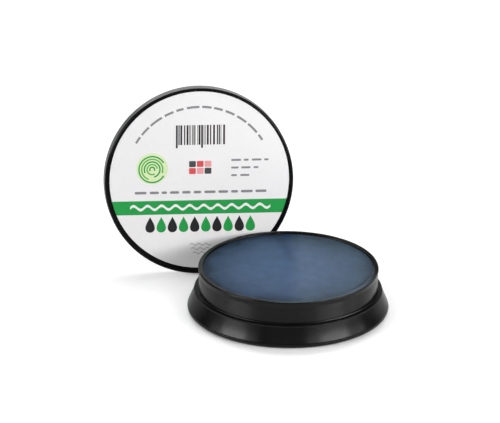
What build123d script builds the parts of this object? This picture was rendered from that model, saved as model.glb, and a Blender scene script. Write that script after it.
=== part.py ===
from build123d import *
from math import cos, radians, sin, sqrt, tan
import os

# Finger moistener: a shallow pot of wax on a flared foot. The lid is off and stands behind the pot.
# The origin is the pot's axis on the table, +Z is up and -Y is the front, which the lid's label faces.
# Driving dimensions, in millimetres and degrees

# Pot
neck_dia = 54.8         # the straight wall that the lid presses over
neck_wall = 1.3
neck_height = 7.3       # from the ledge to the rim
rim_bead = 0.2          # how far the snap bead stands out from the neck
rim_bead_height = 1.9
rim_bead_land = 0.6     # the bead's straight top
rim_round = 0.45
ledge_width = 1.4       # from the neck out to the lip
ledge_height = 6.8      # above the table
lip_thickness = 0.5
lip_round = 0.25
neck_root_round = 0.3
flare_reach = 2.68      # from the lip out to the foot's corner on the table, before it is rounded
flare_hollow = 0.1      # how deep the flare curves in
foot_round = 1.2
foot_land = 2.9         # ring that stands on the table, before the foot is rounded
floor_thickness = 1.2
skirt_wall = 1.3
inner_round = 0.8       # inside corners of the cup and of the hollow under it

# Wax cake
wax_depth = 4.7         # at the cup's wall
fill_gap = 0.65         # from the wax up to the rim
wax_dish = 0.25         # how far the middle has sunk

# Lid
lid_clearance = 0.2     # between the snap bead and the skirt's bore
lid_wall = 1.38
lid_panel = 1.25
lid_depth = 4.6         # from the front rim to the skirt's open edge
snap_overlap = 0.1      # what the lid's snap ring grips of the bead
snap_ring_height = 0.9
lid_rim_width = 0.75    # raised rim round the label
lid_rim_round = 0.5
label_recess = 0.35
lid_edge_round = 0.3

# Label
label_margin = 0.68     # between the label's edge and the recess, if it were centred
label_thickness = 0.15
label_shift_right = 0.07
label_shift_up = 0.45

# Where the lid stands
lid_lean = 10.3         # tips back from upright
lid_offset = -24.06     # its centre, to the left of the pot's axis
lid_gap = 0.2           # least gap between the lid and the pot

# Sizes that follow
neck_radius = neck_dia / 2
cup_radius = neck_radius - neck_wall
bead_radius = neck_radius + rim_bead
lip_radius = neck_radius + ledge_width
foot_radius = lip_radius + flare_reach
foot_inner_radius = foot_radius - foot_land
hollow_radius = neck_radius - skirt_wall
pot_height = ledge_height + neck_height
lip_bottom = ledge_height - lip_thickness
bead_bottom = pot_height - rim_bead_height
wax_top = pot_height - fill_gap
floor_top = wax_top - wax_depth
floor_bottom = floor_top - floor_thickness

bore_radius = bead_radius + lid_clearance
lid_radius = bore_radius + lid_wall
recess_radius = lid_radius - lid_rim_width
label_radius = recess_radius - label_margin
panel_bottom = label_recess + lid_panel
snap_ring_radius = bead_radius - snap_overlap
snap_ring_reach = bore_radius - snap_ring_radius
snap_ring_top = panel_bottom + rim_bead_height

# The lid stands on the rounded outer edge of its skirt
lean = radians(lid_lean)
lid_centre_height = (
    (lid_radius - lid_edge_round) * cos(lean) + (lid_depth - lid_edge_round) * sin(lean) + lid_edge_round
)


def lid_setback():
    """Distance of the lid's centre behind the pot's axis that keeps the least gap to the pot's widest rings."""
    rings = [
        (foot_radius, foot_round),
        (lip_radius, lip_bottom),
        (lip_radius, ledge_height),
        (bead_radius, pot_height),
    ]
    needed = []
    for ring_radius, ring_height in rings:
        below_centre = lid_centre_height - ring_height
        half_chord = sqrt(max(lid_radius**2 - (below_centre / cos(lean)) ** 2, 0))
        nearest_x = min(lid_offset + half_chord, 0)
        reach = sqrt(max((ring_radius + lid_gap) ** 2 - nearest_x**2, 0))
        needed.append(reach + below_centre * tan(lean))
    return max(needed)


face_plane = Plane(
    origin=(lid_offset, lid_setback(), lid_centre_height),
    x_dir=(1, 0, 0),
    z_dir=(0, -cos(lean), sin(lean)),
)
section_plane = Plane(origin=face_plane.origin, x_dir=face_plane.x_dir, z_dir=-face_plane.y_dir)
lid_axis = Axis(face_plane.origin, face_plane.z_dir)


def corner(profile, radius, height):
    """The vertex of a profile that lies nearest to a radius and a height."""
    return profile.vertices().sort_by_distance((radius, height, 0))[0]


# Pot: cup, neck, ledge and flared foot, moulded in one piece and hollow underneath
with BuildPart() as pot:
    with BuildSketch(Plane.XZ) as pot_profile:
        with BuildLine():
            Polyline(
                (0, floor_bottom),
                (hollow_radius, floor_bottom),
                (foot_inner_radius, 0),
                (foot_radius, 0),
            )
            SagittaArc((foot_radius, 0), (lip_radius, lip_bottom), flare_hollow)
            Polyline(
                (lip_radius, lip_bottom),
                (lip_radius, ledge_height),
                (neck_radius, ledge_height),
                (neck_radius, bead_bottom),
                (bead_radius, pot_height - rim_bead_land),
                (bead_radius, pot_height),
                (cup_radius, pot_height),
                (cup_radius, floor_top),
                (0, floor_top),
                (0, floor_bottom),
            )
        make_face()
        fillet(corner(pot_profile, foot_radius, 0), radius=foot_round)
        fillet(corner(pot_profile, lip_radius, ledge_height), radius=lip_round)
        fillet(corner(pot_profile, neck_radius, ledge_height), radius=neck_root_round)
        fillet(corner(pot_profile, bead_radius, pot_height), radius=rim_round)
        fillet(corner(pot_profile, cup_radius, pot_height), radius=rim_round)
        fillet(corner(pot_profile, cup_radius, floor_top), radius=inner_round)
        fillet(corner(pot_profile, hollow_radius, floor_bottom), radius=inner_round)
    revolve(axis=Axis.Z)

# Wax cake, poured into the cup, with a top that sinks a little towards the middle
with BuildPart() as wax:
    with BuildSketch(Plane.XZ) as wax_profile:
        with BuildLine():
            Polyline(
                (0, wax_top - wax_dish),
                (0, floor_top),
                (cup_radius, floor_top),
                (cup_radius, wax_top),
            )
            TangentArc((0, wax_top - wax_dish), (cup_radius, wax_top), tangent=(1, 0))
        make_face()
        fillet(corner(wax_profile, cup_radius, floor_top), radius=inner_round)
    revolve(axis=Axis.Z)

# Lid: a shallow press-on cap with a raised rim round its label and a snap ring inside its skirt
with BuildPart() as lid:
    with BuildSketch(section_plane) as lid_profile:
        with BuildLine():
            Polyline(
                (0, -label_recess),
                (recess_radius, -label_recess),
                (recess_radius, 0),
                (lid_radius, 0),
                (lid_radius, -lid_depth),
                (bore_radius, -lid_depth),
                (bore_radius, -snap_ring_top - snap_ring_height),
                (snap_ring_radius, -snap_ring_top - snap_ring_reach),
                (bore_radius, -snap_ring_top),
                (bore_radius, -panel_bottom),
                (0, -panel_bottom),
                (0, -label_recess),
            )
        make_face()
        fillet(corner(lid_profile, lid_radius, 0), radius=lid_rim_round)
        fillet(corner(lid_profile, lid_radius, -lid_depth), radius=lid_edge_round)
    revolve(axis=lid_axis)

# Label: a printed paper disc, stuck a little high in the lid's recess
with BuildPart() as lid_label:
    with BuildSketch(face_plane.offset(-label_recess)):
        with Locations((label_shift_right, label_shift_up)):
            Circle(label_radius)
    extrude(amount=label_thickness)

os.makedirs("parts", exist_ok=True)
for name, piece in (("pot", pot), ("wax_cake", wax), ("lid", lid), ("lid_label", lid_label)):
    piece.part.label = name
    export_step(piece.part, f"parts/{name}.step")
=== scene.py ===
import math
import random

import bmesh
import bpy
from mathutils import Matrix, Vector, noise
from mathutils.geometry import delaunay_2d_cdt


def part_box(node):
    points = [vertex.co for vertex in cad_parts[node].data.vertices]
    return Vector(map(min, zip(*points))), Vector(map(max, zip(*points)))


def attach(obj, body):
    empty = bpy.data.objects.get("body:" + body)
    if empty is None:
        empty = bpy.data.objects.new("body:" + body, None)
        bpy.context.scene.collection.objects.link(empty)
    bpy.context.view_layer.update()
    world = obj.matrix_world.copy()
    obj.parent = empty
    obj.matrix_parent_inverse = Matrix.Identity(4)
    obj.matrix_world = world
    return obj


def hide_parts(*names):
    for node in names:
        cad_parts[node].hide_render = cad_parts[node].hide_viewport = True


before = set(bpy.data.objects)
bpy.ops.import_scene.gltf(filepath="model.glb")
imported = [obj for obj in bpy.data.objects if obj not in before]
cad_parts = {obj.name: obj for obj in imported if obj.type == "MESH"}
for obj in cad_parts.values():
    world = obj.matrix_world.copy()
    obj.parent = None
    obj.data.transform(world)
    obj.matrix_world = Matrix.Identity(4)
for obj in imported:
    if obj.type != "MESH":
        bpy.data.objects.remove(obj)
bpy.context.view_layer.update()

# Finger moistener: a black pot of blue-grey wax, with its labelled lid standing behind it.
# Lengths are in metres unless a name or a comment says otherwise.
# Noise scales are per metre, and ramps are (position, level) or (position, colour) stops.

MM = 0.001
WHITE = (1, 1, 1, 1)

# Camera, set from the photograph's 500 by 423 frame
FRAME_WIDTH_PX = 500
FRAME_HEIGHT_PX = 423
POT_FOOT_PX = (287.9, 308.5)            # where the pot's axis meets the table
METRES_PER_PX = 0.30606 * MM
VIEW_AZIMUTH = math.radians(-6.55)
VIEW_ELEVATION = math.radians(23.24)
VIEW_ROLL = math.radians(0.57)          # the photograph leans a little clockwise
VIEW_DISTANCE = 3.06
SENSOR_WIDTH_MM = 36

# Softboxes: name, azimuth from the camera's, elevation, distance, width and height, watts and tilt.
# Their angles are in degrees.
SOFTBOXES = (
    ("back_panel", 180, 6, 1.2, (0.9, 0.34), 1.25, 0),
    ("back_softbox", 180, 65, 0.8, (0.9, 0.36), 2.5, 0),
    ("left_softbox", -65, 20.5, 1.2, (0.62, 0.2), 6.2, 12),
    ("left_screen", -68, 24, 1.2, (1.35, 0.36), 5.0, 12),
    ("right_softbox", 54, 22, 0.3, (0.167, 0.05), 0.45, -12),
    ("right_screen", 60, 25, 0.3, (0.4, 0.093), 0.52, -12),
    ("front_fill", 0, 24, 1.0, (1.0, 0.4), 0.5, 0),
)
ROOM_GLOW = ((0.0, 0.08), (0.8, 0.14))  # from the horizon up

# Table, whose wide shadows are whitened in direct view
FLOOR_HALF_WIDTH = 6.0
FLOOR_CLOUDS = 40
FLOOR_LEVELS = ((0.3, 0.93), (0.7, 0.95))
FLOOR_ROUGHNESS = 0.2
FLOOR_SPECULAR = 0.5
LIFT_SQUEEZE = (1.2, 1, 0)              # the whitening starts nearer to the pot at its sides
LIFT_REACH = (34 * MM, 50 * MM)         # distances from the pot's axis where it starts and is full
LIFT_LEVELS = ((0, 0), (0.22, 0.22), (1, 0.42))

# Black plastic, with its roughness on the foot, the lip and the neck
LEDGE_HEIGHT = 6.8 * MM
LEDGE_ZONE = 1 * MM                     # above and below the ledge, where the finish changes
LEDGE_STOPS = (0.20, 0.30, 0.48, 0.56)  # the foot's end, the lip's start and end, and the neck's start
POT_ROUGHNESS = (0.22, 0.5, 0.2)
LID_ROUGHNESS = (0.25, 0.25, 0.25)
PLASTIC_PATCHES = 180
PATCH_ROUGHNESS = 0.03                  # more or less than the roughness above
PLASTIC_GRAIN = 5200
PLASTIC_SPECULAR = 0.18
PLASTIC_TONES = (
    (0.3, (0.0015, 0.0015, 0.0017)),
    (0.7, (0.0030, 0.0029, 0.0029)),
)

# Painted reflection on the front of the pot's rim, in the wax's blue-grey tones
RIM_HEIGHT = 14.1 * MM
RIM_SHEEN_TOWARDS = (0.45, -0.89, 0)
RIM_SHEEN_REACH = (17 * MM, 25 * MM)         # distances that way where it starts and is full
RIM_SHEEN_DEPTH = (0.25 * MM, 0.05 * MM)     # the same, below the top of the rim
RIM_SHEEN_COVER = 0.9
RIM_SHEEN_TONES = (
    (0.3, (0.056, 0.080, 0.098)),
    (0.7, (0.074, 0.104, 0.126)),
)

# Wax surface
WAX_RINGS = 56
WAX_STEPS = 168
WAX_RING_CROWDING = 1.6                 # draws the rings together towards the wall
WAX_WALL_GAP = 0.01 * MM
WAX_DISH = 0.25 * MM
WAX_EDGE_ROUND = 0.8 * MM               # at the bottom of the cup
WAX_EDGE_STEPS = 6
MENISCUS_RISE = 0.06 * MM
MENISCUS_REACH = 0.3 * MM
WAX_WAVES = ((11 * MM, 0.05 * MM), (4 * MM, 0.014 * MM), (1.5 * MM, 0.004 * MM))   # length, height
WAVE_SLICE = 7.3                        # height at which the noise is cut
CALM_WIDTH = 2 * MM                     # beside the wall, where the waves die out

# Wax tones from the middle out to the wall, with painted shade: they darken towards the wall, and the
# left side, which the lid shades, is darker and bluer than the right
WAX_TONE_AND_SHADE_RADIUS = 27 * MM
WAX_TONE_AND_SHADE_SHIFT = (-1.5 * MM, 0, 0)      # puts their middle a little to the right
WAX_TONE_AND_SHADE_RAGGED = 2.5 * MM              # how far the clouds push them in and out
WAX_LEFT_IN_LID_SHADE = (
    (0.30, (0.060, 0.104, 0.194)),
    (0.65, (0.053, 0.090, 0.164)),
    (0.87, (0.030, 0.055, 0.103)),
    (0.97, (0.014, 0.027, 0.051)),
)
WAX_RIGHT_OUT_OF_LID_SHADE = (
    (0.35, (0.087, 0.133, 0.216)),
    (0.60, (0.074, 0.113, 0.177)),
    (0.80, (0.060, 0.091, 0.134)),
    (0.95, (0.041, 0.061, 0.086)),
)
WAX_LID_SHADE_RIGHTWARDS = (0.99, -0.11, 0)
WAX_LID_SHADE_BLEND = (0, 4.5 * MM)          # distances that way where the left ends and the right begins

# Wax finish
WAX_CLOUDS = 95
WAX_CLOUD_SWIRL = 0.6
WAX_MOTTLE = 330
WAX_MOTTLE_LEVELS = (0.91, 1.07)
WAX_SKIN = 900
WAX_ROUGHNESS = (0.38, 0.46)
WAX_SPECULAR = 0.06
WAX_SCATTER = 0.3
WAX_SCATTER_COLOUR = (0.5, 0.8, 1.0)
WAX_SCATTER_DEPTH = 1.2 * MM

# Painted reflection of the lid's dark edge: a faint darker streak in the back half of the wax
LID_REFLECTION_ACROSS = (1, 0.12, 0)
LID_REFLECTION_SPAN = (-1.6 * MM, 7.4 * MM)
LID_REFLECTION_LEVELS = ((0.22, 0), (0.50, 1), (0.72, 0))
LID_REFLECTION_DEPTH = 0.22
LID_REFLECTION_FADE = (2 * MM, 9 * MM)          # distances behind the middle where it starts and is full

# Label paper and inks
PAPER_FIBRE = 2600
FIBRE_SHADE = 0.965
INK_ROUGHNESS = 0.42
INK_SPECULAR = 0.3
INKS = {
    "paper": (0.765, 0.757, 0.76),
    "green": (0.012, 0.30, 0.058),
    "leaf_green": (0.10, 0.42, 0.07),
    "pale_green": (0.62, 0.74, 0.44),
    "black": (0.012, 0.012, 0.013),
    "dark_grey": (0.05, 0.055, 0.055),
    "grey": (0.21, 0.21, 0.215),
    "pale_grey": (0.43, 0.43, 0.44),
    "red": (0.62, 0.075, 0.08),
    "pale_red": (0.74, 0.30, 0.31),
}

# Label print, in millimetres from the label's middle, x to the right and y up, and in degrees
LABEL_ROLL = math.radians(-0.88)
DISC_STEPS = 240
PRINT_SEED = 6
BAND_Y = (-10.8, -6.45)
BAND_HALF_LENGTH = 40                   # past the label's edge
WAVE_X = (-21.4, 22.0)
WAVE_Y = -8.62
DROP_COUNT = 10
DROP_PITCH = 3.45
FIRST_DROP = (-15.2, -13.95)
RIPPLE_ROWS = 3
RIPPLE_PITCH = 1.35
RIPPLE_INSET = 0.5                      # each row is shorter than the one above it
FIRST_RIPPLE_X = (-2.9, 3.7)
FIRST_RIPPLE_Y = -20.4
DASH_LENGTHS = (0.4, 1)                 # as shares of a row's longest dash
DASH_GAPS = (0.7, 1.0)
DASH_LEAST_ROOM = 0.6
DASH_ROWS = (                           # left end, right end, y, thickness and longest dash
    (-20.0, 20.8, -3.9, 0.8, 4.2),
    (9.8, 21.4, 6.0, 0.62, 3.4),
    (9.8, 18.9, 3.6, 0.62, 3),
    (9.8, 16.2, 1.2, 0.62, 3),
)
FIELD_CENTRE = (-14.6, 3.7)
FIELD_RADIUS = 4.9
RIDGE_DROP = 0.25                       # the ridges' middle lies below the field's
RIDGE_ARCS = ((-30, 215), (10, 300), (-75, 205), (-20, 250), (30, 330))     # from the inside out
FIRST_RIDGE_RADIUS = 0.75
RIDGE_PITCH = 0.83
RIDGE_WIDTH = 0.46
SWATCH_INKS = ("dark_grey", "red", "pale_red")
SWATCH_ROWS = 2
SWATCH_CORNER = (-3.2, 5.9)             # top left of the first
SWATCH_PITCH = (2.4, 2.2)
SWATCH_SIZE = (2.1, 1.9)
SWATCH_ROUND = 0.25
BARS_X = (-7.3, 8.0)
BARS_Y = (11.0, 17.2)
BAR_WIDTHS = (0.19, 0.19, 0.38, 0.38, 0.57)
BAR_GAPS = (0.21, 0.21, 0.4, 0.58)
LONG_BARS_X = ((-7.3, -6.6), (-0.1, 0.9), (7.4, 8.0))
LONG_BAR_BOTTOM = 10.0
ARC_TURNS = (32.0, 149.0)
ARC_RADIUS = 22.9
ARC_WIDTH = 0.7
ARC_DASHES = (4.5, 11)
ARC_GAPS = (1.9, 2.6)
ARC_LEAST_ROOM = 2

# How the label's front is divided along its print
KEEP_FACES_INSIDE = 1
SAME_POINT_MM = 1e-5


def view_axes(azimuth, elevation, roll):
    """Right, up and towards-the-viewer directions of a view."""
    back = Vector((
        math.sin(azimuth) * math.cos(elevation),
        -math.cos(azimuth) * math.cos(elevation),
        math.sin(elevation),
    ))
    level = Vector((math.cos(azimuth), math.sin(azimuth), 0))
    right = level * math.cos(roll) + back.cross(level) * math.sin(roll)
    return right, back.cross(right), back


def add_facing(name, data, axes, place):
    """Puts a camera or a light at a place, looking along a view."""
    thing = bpy.data.objects.new(name, data)
    thing.matrix_world = Matrix.Translation(place) @ Matrix(axes).transposed().to_4x4()
    bpy.context.collection.objects.link(thing)
    return thing


def add_camera():
    """A long lens at the photograph's viewing angle."""
    axes = view_axes(VIEW_AZIMUTH, VIEW_ELEVATION, VIEW_ROLL)
    right, up, back = axes
    across = (FRAME_WIDTH_PX / 2 - POT_FOOT_PX[0]) * METRES_PER_PX
    above = (POT_FOOT_PX[1] - FRAME_HEIGHT_PX / 2) * METRES_PER_PX
    data = bpy.data.cameras.new("photo_camera")
    data.sensor_width = SENSOR_WIDTH_MM
    data.lens = SENSOR_WIDTH_MM * VIEW_DISTANCE / (FRAME_WIDTH_PX * METRES_PER_PX)
    place = right * across + up * above + back * VIEW_DISTANCE
    bpy.context.scene.camera = add_facing("photo_camera", data, axes, place)


def add_softbox(name, azimuth_deg, elevation_deg, distance, size, power, tilt_deg):
    """A rectangular area light that faces the object."""
    azimuth = VIEW_AZIMUTH + math.radians(azimuth_deg)
    axes = view_axes(azimuth, math.radians(elevation_deg), math.radians(tilt_deg))
    data = bpy.data.lights.new(name, "AREA")
    data.shape = "RECTANGLE"
    data.size, data.size_y = size
    data.energy = power
    add_facing(name, data, axes, axes[2] * distance)


def add_noise(nodes, links, place, scale, detail, roughness=0.5):
    """A noise texture."""
    texture = nodes.new("ShaderNodeTexNoise")
    texture.inputs["Scale"].default_value = scale
    texture.inputs["Detail"].default_value = detail
    texture.inputs["Roughness"].default_value = roughness
    links.new(place, texture.inputs["Vector"])
    return texture


def add_range(nodes, links, value, low, high, from_low=0.3, from_high=0.7):
    """Maps a value to a range, from most of a noise texture's own range unless another is given."""
    change = nodes.new("ShaderNodeMapRange")
    change.inputs["From Min"].default_value = from_low
    change.inputs["From Max"].default_value = from_high
    change.inputs["To Min"].default_value = low
    change.inputs["To Max"].default_value = high
    links.new(value, change.inputs["Value"])
    return change.outputs["Result"]


def add_ramp(nodes, links, value, stops):
    """A colour ramp through (position, colour) stops."""
    ramp = nodes.new("ShaderNodeValToRGB")
    elements = ramp.color_ramp.elements
    while len(elements) < len(stops):
        elements.new(1)
    for element, (position, colour) in zip(elements, stops):
        element.position = position
        element.color = (*colour, 1)
    links.new(value, ramp.inputs["Fac"])
    return ramp.outputs["Color"]


def add_levels(nodes, links, value, stops):
    """A grey ramp through (position, level) stops."""
    return add_ramp(nodes, links, value, [(position, (level,) * 3) for position, level in stops])


def add_math(nodes, links, operation, first, second):
    """A sum, difference or product of two values."""
    step = nodes.new("ShaderNodeMath")
    step.operation = operation
    links.new(first, step.inputs[0])
    links.new(second, step.inputs[1])
    return step.outputs["Value"]


def add_mix(nodes, links, share, first, second):
    """Blends two colours."""
    mix = nodes.new("ShaderNodeMix")
    mix.data_type = "RGBA"
    links.new(share, mix.inputs["Factor"])
    links.new(first, mix.inputs["A"])
    links.new(second, mix.inputs["B"])
    return mix.outputs["Result"]


def add_bump(nodes, links, height, shader, strength, distance):
    """Fine relief on a shader's normal."""
    bump = nodes.new("ShaderNodeBump")
    bump.inputs["Strength"].default_value = strength
    bump.inputs["Distance"].default_value = distance
    links.new(height, bump.inputs["Height"])
    links.new(bump.outputs["Normal"], shader.inputs["Normal"])


def coordinate(nodes, links, place, axis):
    """A place's X, Y or Z."""
    split = nodes.new("ShaderNodeSeparateXYZ")
    links.new(place, split.inputs["Vector"])
    return split.outputs[axis]


def along(nodes, links, place, direction, low, high):
    """How far a place lies along a direction, from 0 at one distance to 1 at another."""
    reach = nodes.new("ShaderNodeVectorMath")
    reach.operation = "DOT_PRODUCT"
    reach.inputs[1].default_value = direction
    links.new(place, reach.inputs[0])
    return add_range(nodes, links, reach.outputs["Value"], 0, 1, low, high)


def distance_from_axis(nodes, links, place, scale=(1, 1, 0), shift=(0, 0, 0)):
    """How far a place lies from the pot's axis, once it is scaled and shifted."""
    flat = nodes.new("ShaderNodeVectorMath")
    flat.operation = "MULTIPLY_ADD"
    flat.inputs[1].default_value = scale
    flat.inputs[2].default_value = shift
    links.new(place, flat.inputs[0])
    distance = nodes.new("ShaderNodeVectorMath")
    distance.operation = "LENGTH"
    links.new(flat.outputs["Vector"], distance.inputs[0])
    return distance.outputs["Value"]


def add_world():
    """A dark studio, paler overhead, and white wherever the camera looks straight at it."""
    world = bpy.data.worlds.new("studio")
    bpy.context.scene.world = world
    world.use_nodes = True
    nodes, links = world.node_tree.nodes, world.node_tree.links
    room = nodes["Background"]
    place = nodes.new("ShaderNodeTexCoord").outputs["Generated"]
    height = coordinate(nodes, links, place, "Z")
    links.new(add_levels(nodes, links, height, ROOM_GLOW), room.inputs["Color"])
    backdrop = nodes.new("ShaderNodeBackground")
    backdrop.inputs["Color"].default_value = WHITE
    path = nodes.new("ShaderNodeLightPath")
    mix = nodes.new("ShaderNodeMixShader")
    links.new(path.outputs["Is Camera Ray"], mix.inputs["Fac"])
    links.new(room.outputs["Background"], mix.inputs[1])
    links.new(backdrop.outputs["Background"], mix.inputs[2])
    links.new(mix.outputs["Shader"], nodes["World Output"].inputs["Surface"])


def new_material(name):
    """A node material, with its nodes, links, main shader and the object's own coordinates."""
    material = bpy.data.materials.new(name)
    material.use_nodes = True
    nodes, links = material.node_tree.nodes, material.node_tree.links
    place = nodes.new("ShaderNodeTexCoord").outputs["Object"]
    return material, nodes, links, nodes["Principled BSDF"], place


def floor_material():
    """White table that mirrors the lights faintly, with its wide shadows whitened in direct view."""
    material, nodes, links, shader, place = new_material("floor")
    clouds = add_noise(nodes, links, place, FLOOR_CLOUDS, detail=2)
    links.new(add_levels(nodes, links, clouds.outputs["Fac"], FLOOR_LEVELS), shader.inputs["Base Color"])
    shader.inputs["Roughness"].default_value = FLOOR_ROUGHNESS
    shader.inputs["Specular IOR Level"].default_value = FLOOR_SPECULAR
    distance = distance_from_axis(nodes, links, place, LIFT_SQUEEZE)
    reach = add_range(nodes, links, distance, 0, 1, *LIFT_REACH)
    direct = nodes.new("ShaderNodeLightPath").outputs["Is Camera Ray"]
    lift = add_math(nodes, links, "MULTIPLY", direct, add_levels(nodes, links, reach, LIFT_LEVELS))
    shader.inputs["Emission Color"].default_value = WHITE
    links.new(lift, shader.inputs["Emission Strength"])
    return material


def add_rim_sheen(nodes, links, place, patches, height, tone):
    """Paints a reflection in wax tones over a tone on the front of the rim."""
    below_rim = [RIM_HEIGHT - depth for depth in RIM_SHEEN_DEPTH]
    # painted reflection: the front of the rim is lightened in the wax's tones
    cover = add_math(
        nodes, links, "MULTIPLY",
        along(nodes, links, place, RIM_SHEEN_TOWARDS, *RIM_SHEEN_REACH),
        add_range(nodes, links, height, 0, RIM_SHEEN_COVER, *below_rim),
    )
    return add_mix(nodes, links, cover, tone, add_ramp(nodes, links, patches, RIM_SHEEN_TONES))


def black_plastic(name, roughness, with_rim_sheen=False):
    """Near-black moulded plastic, finely grained and a little patchy, with a painted reflection on the
    rim's front if asked.
    """
    material, nodes, links, shader, place = new_material(name)
    patches = add_noise(nodes, links, place, PLASTIC_PATCHES, detail=4).outputs["Fac"]
    grain = add_noise(nodes, links, place, PLASTIC_GRAIN, detail=2).outputs["Fac"]
    height = coordinate(nodes, links, place, "Z")
    ledge = add_range(nodes, links, height, 0, 1, LEDGE_HEIGHT - LEDGE_ZONE, LEDGE_HEIGHT + LEDGE_ZONE)
    foot, lip, neck = roughness
    finish = add_math(
        nodes, links, "ADD",
        add_levels(nodes, links, ledge, zip(LEDGE_STOPS, (foot, lip, lip, neck))),
        add_range(nodes, links, patches, -PATCH_ROUGHNESS, PATCH_ROUGHNESS),
    )
    links.new(finish, shader.inputs["Roughness"])
    tone = add_ramp(nodes, links, patches, PLASTIC_TONES)
    # painted reflection on the rim's front
    if with_rim_sheen:
        tone = add_rim_sheen(nodes, links, place, patches, height, tone)
    links.new(tone, shader.inputs["Base Color"])
    shader.inputs["Specular IOR Level"].default_value = PLASTIC_SPECULAR
    add_bump(nodes, links, grain, shader, strength=0.06, distance=0.04 * MM)
    return material


def wax_colour_and_shade(nodes, links, place, clouds):
    """The wax's tones from the middle out, with painted shade darkening them towards the wall and over
    the left side, where the lid shades the wax; a little greyer to the right.
    """
    distance = distance_from_axis(nodes, links, place, shift=WAX_TONE_AND_SHADE_SHIFT)
    push = add_range(nodes, links, clouds, WAX_TONE_AND_SHADE_RAGGED, -WAX_TONE_AND_SHADE_RAGGED)
    ragged = add_math(nodes, links, "ADD", distance, push)
    # painted shade: the tones darken towards the cup's wall
    outwards = add_range(nodes, links, ragged, 0, 1, 0, WAX_TONE_AND_SHADE_RADIUS)
    # painted shade: the left side, shaded by the lid, takes the darker tones
    share = along(nodes, links, place, WAX_LID_SHADE_RIGHTWARDS, *WAX_LID_SHADE_BLEND)
    left = add_ramp(nodes, links, outwards, WAX_LEFT_IN_LID_SHADE)
    right = add_ramp(nodes, links, outwards, WAX_RIGHT_OUT_OF_LID_SHADE)
    return add_mix(nodes, links, share, left, right)


def wax_mottle_and_lid_reflection(nodes, links, place):
    """A mottle round 1, less the painted reflection of the lid's edge, a streak in the wax's back half.
    """
    mottle = add_noise(nodes, links, place, WAX_MOTTLE, detail=3, roughness=0.6).outputs["Fac"]
    # painted reflection of the lid's dark edge
    lid_reflection = along(nodes, links, place, LID_REFLECTION_ACROSS, *LID_REFLECTION_SPAN)
    depth = add_math(
        nodes, links, "MULTIPLY",
        add_levels(nodes, links, lid_reflection, LID_REFLECTION_LEVELS),
        add_range(nodes, links, coordinate(nodes, links, place, "Y"), 0, LID_REFLECTION_DEPTH, *LID_REFLECTION_FADE),
    )
    return add_math(nodes, links, "SUBTRACT", add_range(nodes, links, mottle, *WAX_MOTTLE_LEVELS), depth)


def wax_material():
    """Soft translucent wax, cloudy and mottled, with painted shade towards the cup's wall and on its left
    side, and a painted reflection of the lid's edge in its back half.
    """
    material, nodes, links, shader, place = new_material("wax")
    texture = add_noise(nodes, links, place, WAX_CLOUDS, detail=5, roughness=0.55)
    texture.inputs["Distortion"].default_value = WAX_CLOUD_SWIRL
    clouds = texture.outputs["Fac"]
    tone = nodes.new("ShaderNodeVectorMath")
    tone.operation = "SCALE"
    links.new(wax_colour_and_shade(nodes, links, place, clouds), tone.inputs[0])
    links.new(wax_mottle_and_lid_reflection(nodes, links, place), tone.inputs["Scale"])
    links.new(tone.outputs["Vector"], shader.inputs["Base Color"])
    links.new(add_range(nodes, links, clouds, *WAX_ROUGHNESS), shader.inputs["Roughness"])
    shader.inputs["Specular IOR Level"].default_value = WAX_SPECULAR
    shader.inputs["Subsurface Weight"].default_value = WAX_SCATTER
    shader.inputs["Subsurface Radius"].default_value = WAX_SCATTER_COLOUR
    shader.inputs["Subsurface Scale"].default_value = WAX_SCATTER_DEPTH
    skin = add_noise(nodes, links, place, WAX_SKIN, detail=4)
    add_bump(nodes, links, skin.outputs["Fac"], shader, strength=0.12, distance=0.05 * MM)
    return material


def ink_material(name, colour):
    """Print or bare paper on coated label stock, with a faint fibre tone and relief."""
    material, nodes, links, shader, place = new_material(name)
    fibre = add_noise(nodes, links, place, PAPER_FIBRE, detail=4).outputs["Fac"]
    darker = tuple(FIBRE_SHADE * channel for channel in colour)
    tone = add_ramp(nodes, links, fibre, ((0.3, darker), (0.7, colour)))
    links.new(tone, shader.inputs["Base Color"])
    shader.inputs["Roughness"].default_value = INK_ROUGHNESS
    shader.inputs["Specular IOR Level"].default_value = INK_SPECULAR
    add_bump(nodes, links, fibre, shader, strength=0.05, distance=0.02 * MM)
    return material


def add_floor():
    """The table that the pot and its lid stand on."""
    mesh = bpy.data.meshes.new("floor")
    sides = (-FLOOR_HALF_WIDTH, FLOOR_HALF_WIDTH)
    mesh.from_pydata([(x, y, 0) for y in sides for x in sides], [], [(0, 1, 3, 2)])
    floor = bpy.data.objects.new("floor", mesh)
    floor.data.materials.append(floor_material())
    bpy.context.collection.objects.link(floor)


def add_piece(name, mesh, body, node):
    """Puts a piece in the scene in the place of a CAD node."""
    piece = bpy.data.objects.new(name, mesh)
    bpy.context.collection.objects.link(piece)
    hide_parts(node)
    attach(piece, body)


def on_circle(cx, cy, radius, turn):
    """The point of a circle at an angle."""
    return cx + radius * math.cos(turn), cy + radius * math.sin(turn)


def disc(cx, cy, radius, steps=40):
    """A circle's outline."""
    return [on_circle(cx, cy, radius, 2 * math.pi * step / steps) for step in range(steps)]


def wax_height(x, y, radius, top):
    """Height of the wax surface: sunk in the middle, drawn up at the wall and gently uneven."""
    distance = math.hypot(x, y)
    height = top - WAX_DISH * (1 - (distance / radius) ** 2)
    height += MENISCUS_RISE * math.exp(-(radius - distance) / MENISCUS_REACH)
    calm = min(1, (radius - distance) / CALM_WIDTH)
    for length, rise in WAX_WAVES:
        height += rise * calm * noise.noise(Vector((x / length, y / length, WAVE_SLICE)))
    return height


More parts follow.
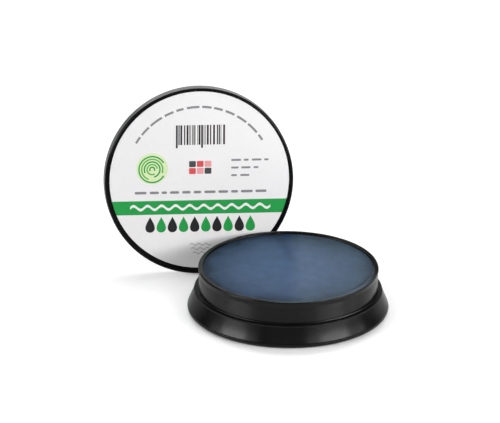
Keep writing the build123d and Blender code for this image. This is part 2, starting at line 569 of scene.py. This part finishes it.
def add_wax():
    """The wax cake: an uneven top over a plain closed body that fills the cup."""
    low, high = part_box("wax_cake")
    bottom, top = low[2], high[2]
    radius = high[0] - WAX_WALL_GAP
    shape = bmesh.new()
    centre = shape.verts.new((0, 0, wax_height(0, 0, radius, top)))
    rings = []
    for ring in range(1, WAX_RINGS + 1):
        distance = radius * (1 - (1 - ring / WAX_RINGS) ** WAX_RING_CROWDING)
        circle = disc(0, 0, distance, WAX_STEPS)
        rings.append([shape.verts.new((x, y, wax_height(x, y, radius, top))) for x, y in circle])
    for step in range(WAX_EDGE_STEPS + 1):
        angle = math.pi / 2 * step / WAX_EDGE_STEPS
        circle = disc(0, 0, radius - WAX_EDGE_ROUND * (1 - math.cos(angle)), WAX_STEPS)
        height = bottom + WAX_EDGE_ROUND * (1 - math.sin(angle))
        rings.append([shape.verts.new((x, y, height)) for x, y in circle])
    for step in range(WAX_STEPS):
        after = (step + 1) % WAX_STEPS
        shape.faces.new((centre, rings[0][step], rings[0][after]))
        for inner, outer in zip(rings, rings[1:]):
            shape.faces.new((inner[step], outer[step], outer[after], inner[after]))
    for face in shape.faces:
        face.smooth = True
    shape.faces.new(list(reversed(rings[-1])))
    mesh = bpy.data.meshes.new("wax_surface")
    shape.to_mesh(mesh)
    shape.free()
    mesh.materials.append(wax_material())
    add_piece("wax_surface", mesh, "pot", "wax_cake")


def bar(x0, x1, y0, y1, rounding=0.0, corner_steps=4):
    """An upright rectangle, with rounded corners if asked."""
    if not rounding:
        return [(x0, y0), (x1, y0), (x1, y1), (x0, y1)]
    corner_share = 2.02     # a little over 2, so that the rounded corners stay apart
    rounding = min(rounding, (x1 - x0) / corner_share, (y1 - y0) / corner_share)
    left, right, bottom, top = x0 + rounding, x1 - rounding, y0 + rounding, y1 - rounding
    points = []
    for cx, cy, start in ((right, top, 0), (left, top, 90), (left, bottom, 180), (right, bottom, 270)):
        for step in range(corner_steps + 1):
            points.append(on_circle(cx, cy, rounding, math.radians(start + 90 * step / corner_steps)))
    return points


def water_drop(cx, cy, width, height, steps=28):
    """A drop that points up."""
    belly, taper = 1.3, 1.5
    points = []
    for step in range(steps):
        turn = 2 * math.pi * step / steps
        points.append((
            cx - width / 2 * belly * math.sin(turn) * math.sin(turn / 2) ** taper,
            cy + height / 2 * math.cos(turn),
        ))
    return points


def arc_band(cx, cy, radius, width, start, end, degrees_per_step=4):
    """A stroke along a circle, from one angle in degrees to a larger one."""
    steps = max(3, int((end - start) / degrees_per_step))
    turns = [math.radians(start + (end - start) * step / steps) for step in range(steps + 1)]
    outer = [on_circle(cx, cy, radius + width / 2, turn) for turn in turns]
    inner = [on_circle(cx, cy, radius - width / 2, turn) for turn in turns]
    return outer + inner[::-1]


def ripple(x0, x1, y, rise, width, length, steps_per_wave=14):
    """A stroke along a wave."""
    steps = int((x1 - x0) / length * steps_per_wave)
    xs = [x0 + (x1 - x0) * step / steps for step in range(steps + 1)]
    line = [(x, y + rise * math.sin(2 * math.pi * (x - x0) / length)) for x in xs]
    lower = [(x, height - width / 2) for x, height in line]
    upper = [(x, height + width / 2) for x, height in reversed(line)]
    return lower + upper


def water_print():
    """A wave along a green band, a row of drops under it and ripples at the bottom."""
    shapes = [
        ("green", bar(-BAND_HALF_LENGTH, BAND_HALF_LENGTH, *BAND_Y)),
        ("paper", ripple(*WAVE_X, WAVE_Y, rise=0.62, width=0.85, length=4.34)),
    ]
    first_x, y = FIRST_DROP
    for place in range(DROP_COUNT):
        ink = "green" if place % 2 else "black"
        shapes.append((ink, water_drop(first_x + DROP_PITCH * place, y, width=3.2, height=5.0)))
    left, right = FIRST_RIPPLE_X
    for row in range(RIPPLE_ROWS):
        inset = RIPPLE_INSET * row
        y = FIRST_RIPPLE_Y - RIPPLE_PITCH * row
        stroke = ripple(left + inset, right - inset, y, rise=0.32, width=0.34, length=2.2)
        shapes.append(("pale_grey", stroke))
    return shapes


def dash_row(draw, left, right, y, thickness, longest):
    """A row of grey dashes of mixed lengths."""
    shapes = []
    x = left
    while x < right - DASH_LEAST_ROOM:
        end = min(x + draw.uniform(*DASH_LENGTHS) * longest, right)
        shapes.append(("grey", bar(x, end, y - thickness / 2, y + thickness / 2, thickness / 2)))
        x = end + draw.uniform(*DASH_GAPS)
    return shapes


def fingertip_print():
    """Fingertip ridges on a round field."""
    cx, cy = FIELD_CENTRE
    shapes = [("pale_green", disc(cx, cy, FIELD_RADIUS))]
    for ridge, (start, end) in enumerate(RIDGE_ARCS):
        ink = "leaf_green" if ridge % 2 else "green"
        radius = FIRST_RIDGE_RADIUS + RIDGE_PITCH * ridge
        shapes.append((ink, arc_band(cx, cy - RIDGE_DROP, radius, RIDGE_WIDTH, start, end)))
    return shapes


def swatch_print():
    """Rows of colour swatches, each row one colour further on."""
    shapes = []
    width, height = SWATCH_SIZE
    for column in range(len(SWATCH_INKS)):
        for row in range(SWATCH_ROWS):
            ink = SWATCH_INKS[(column + row) % len(SWATCH_INKS)]
            x = SWATCH_CORNER[0] + SWATCH_PITCH[0] * column
            y = SWATCH_CORNER[1] - SWATCH_PITCH[1] * row
            shapes.append((ink, bar(x, x + width, y - height, y, SWATCH_ROUND)))
    return shapes


def bar_print(draw):
    """Bars of mixed widths, longer in a few stretches."""
    shapes = []
    bottom, top = BARS_Y
    x, end = BARS_X
    while x < end:
        width = draw.choice(BAR_WIDTHS)
        is_long = any(low <= x < high for low, high in LONG_BARS_X)
        shapes.append(("black", bar(x, x + width, LONG_BAR_BOTTOM if is_long else bottom, top)))
        x += width + draw.choice(BAR_GAPS)
    return shapes


def arc_print(draw):
    """Grey dashes round the top."""
    shapes = []
    turn, last = ARC_TURNS
    while turn < last - ARC_LEAST_ROOM:
        end = min(turn + draw.uniform(*ARC_DASHES), last)
        shapes.append(("grey", arc_band(0, 0, ARC_RADIUS, ARC_WIDTH, turn, end)))
        turn = end + draw.uniform(*ARC_GAPS)
    return shapes


def label_print():
    """The label's plain design as (ink, outline) pairs, later ones on top."""
    draw = random.Random(PRINT_SEED)
    shapes = water_print()
    for row in DASH_ROWS:
        shapes += dash_row(draw, *row)
    shapes += fingertip_print()
    shapes += swatch_print()
    shapes += bar_print(draw)
    shapes += arc_print(draw)
    return shapes


def label_outlines(radius):
    """The label's edge and its print, turned as the label is, as (ink, outline) pairs."""
    cos_roll, sin_roll = math.cos(LABEL_ROLL), math.sin(LABEL_ROLL)
    outlines = [("paper", disc(0, 0, radius, DISC_STEPS))]
    for ink, outline in label_print():
        turned = [(x * cos_roll - y * sin_roll, x * sin_roll + y * cos_roll) for x, y in outline]
        outlines.append((ink, turned))
    return outlines


def divide(outlines):
    """The first outline's inside divided along all of them: its points, and its faces with their inks."""
    points, loops = [], []
    for _, outline in outlines:
        loops.append(list(range(len(points), len(points) + len(outline))))
        points.extend(Vector(point) for point in outline)
    flat, _, faces, _, _, sources = delaunay_2d_cdt(
        points, [], loops, KEEP_FACES_INSIDE, SAME_POINT_MM, True
    )
    inked = []
    for corners, source in zip(faces, sources):
        if 0 in source:
            inked.append((corners, outlines[max(source)][0]))
    return flat, inked


def close_sheet(shape, front, thickness):
    """Gives a flat front an edge and a back."""
    rim = [edge for edge in shape.edges if edge.is_boundary]
    backs = {}
    for edge in rim:
        for vert in edge.verts:
            if vert not in backs:
                backs[vert] = shape.verts.new(vert.co - front * thickness)
    after = {}
    for edge in rim:
        loop = edge.link_loops[0]
        first, second = loop.vert, loop.link_loop_next.vert
        after[second] = first
        shape.faces.new((second, first, backs[first], backs[second]))
    start = next(iter(after))
    ring, vert = [start], after[start]
    while vert is not start:
        ring.append(vert)
        vert = after[vert]
    shape.faces.new([backs[vert] for vert in ring])


def add_label():
    """The printed paper disc in the lid's recess: one closed sheet, its front divided along the print."""
    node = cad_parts["lid_label"]
    front = min(node.data.polygons, key=lambda face: face.normal.y).normal.copy()
    low, high = (Vector(corner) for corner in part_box("lid_label"))
    right = Vector((1, 0, 0))
    up = front.cross(right)
    width = high.x - low.x
    thickness = ((high.y - low.y) - width * abs(front.z)) / abs(front.y)
    middle = (low + high) / 2 + front * (thickness / 2)

    inks = list(INKS)
    flat, inked = divide(label_outlines(width / 2 / MM))
    shape = bmesh.new()
    verts = [shape.verts.new(middle + (right * point.x + up * point.y) * MM) for point in flat]
    for corners, ink in inked:
        face = shape.faces.new([verts[corner] for corner in corners])
        face.material_index = inks.index(ink)
    shape.normal_update()
    close_sheet(shape, front, thickness)
    loose = [vert for vert in shape.verts if not vert.link_faces]
    bmesh.ops.delete(shape, geom=loose, context="VERTS")
    mesh = bpy.data.meshes.new("label_sheet")
    shape.to_mesh(mesh)
    shape.free()
    for ink in inks:
        mesh.materials.append(ink_material("ink_" + ink, INKS[ink]))
    add_piece("label_sheet", mesh, "lid", "lid_label")


add_camera()
add_world()
add_floor()
for softbox in SOFTBOXES:
    add_softbox(*softbox)

for node, material in (
    ("pot", black_plastic("pot_plastic", POT_ROUGHNESS, with_rim_sheen=True)),
    ("lid", black_plastic("lid_plastic", LID_ROUGHNESS)),
):
    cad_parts[node].material_slots[0].material = material
add_wax()
add_label()

bpy.context.scene.view_settings.view_transform = "Standard"
